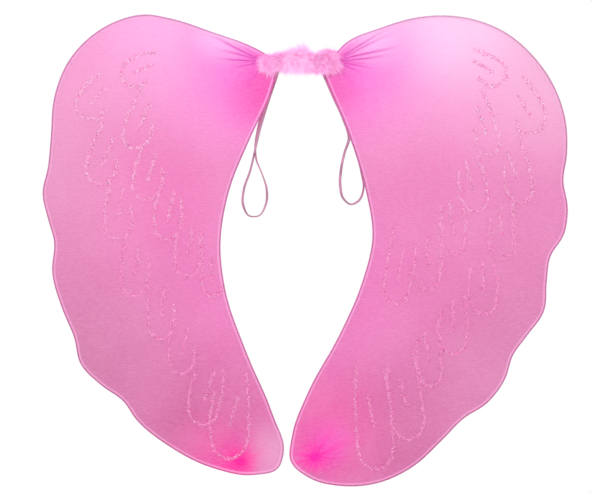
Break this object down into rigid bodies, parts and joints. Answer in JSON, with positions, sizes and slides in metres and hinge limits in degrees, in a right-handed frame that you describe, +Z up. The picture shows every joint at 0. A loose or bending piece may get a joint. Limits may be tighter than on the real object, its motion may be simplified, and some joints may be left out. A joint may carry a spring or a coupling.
{
  "type": "fairy wings",
  "caption": "Wearable costume wings: sheer nylon stretched over wire frames, glitter feather strokes, furry neck and elastic shoulder loops.",
  "frame": {"origin": "middle of the neck, where it rests between the wearer's shoulder blades, on the plane of the wires", "axes": "+X to the right as seen from the glittered side, +Y towards the wearer, +Z up"},
  "size_m": [0.5992, 0.0233, 0.5383],
  "materials": {
    "wire": "thin pink coating on steel wire",
    "ferrule": "crimped steel",
    "tape": "matt woven tape",
    "fur": "long-pile faux fur",
    "nylon": "sheer stretch nylon",
    "glitter": "pale glitter in clear glue",
    "thread": "sewing thread",
    "toe": "bunched nylon",
    "elastic": "flat knitted elastic"
  },
  "bodies": {
    "centre": {"centre_link": "wire", "link_ferrule": "ferrule", "centre_binding": "tape", "centre_fur": "fur"},
    "left_wing": {"left_wire": "wire", "left_wire_eyes": "wire", "left_nylon": "nylon", "left_glitter": "glitter", "left_neck_tie": "thread", "left_fur": "fur", "left_toe_knot": "toe", "left_toe_thread": "thread"},
    "right_wing": {"right_wire": "wire", "right_wire_eyes": "wire", "right_nylon": "nylon", "right_glitter": "glitter", "right_neck_tie": "thread", "right_fur": "fur", "right_toe_knot": "toe", "right_toe_thread": "thread"},
    "left_strap": {"left_elastic": "elastic", "left_hitch": "elastic"},
    "right_strap": {"right_elastic": "elastic", "right_hitch": "elastic"}
  },
  "joints": [
    {"name": "left_wing_fold", "type": "hinge", "parent": "centre", "child": "left_wing", "pos_m": [-0.016, 0, 0], "axis": [0, 0, 1], "range_deg": [0, 90]},
    {"name": "right_wing_fold", "type": "hinge", "parent": "centre", "child": "right_wing", "pos_m": [0.016, 0, 0], "axis": [0, 0, -1], "range_deg": [0, 90]},
    {"name": "left_strap_swing", "type": "hinge", "parent": "left_wing", "child": "left_strap", "pos_m": [-0.0245, 0, 0], "axis": [1, 0, 0], "range_deg": [0, 110]},
    {"name": "right_strap_swing", "type": "hinge", "parent": "right_wing", "child": "right_strap", "pos_m": [0.0245, 0, 0], "axis": [1, 0, 0], "range_deg": [0, 110]}
  ]
}
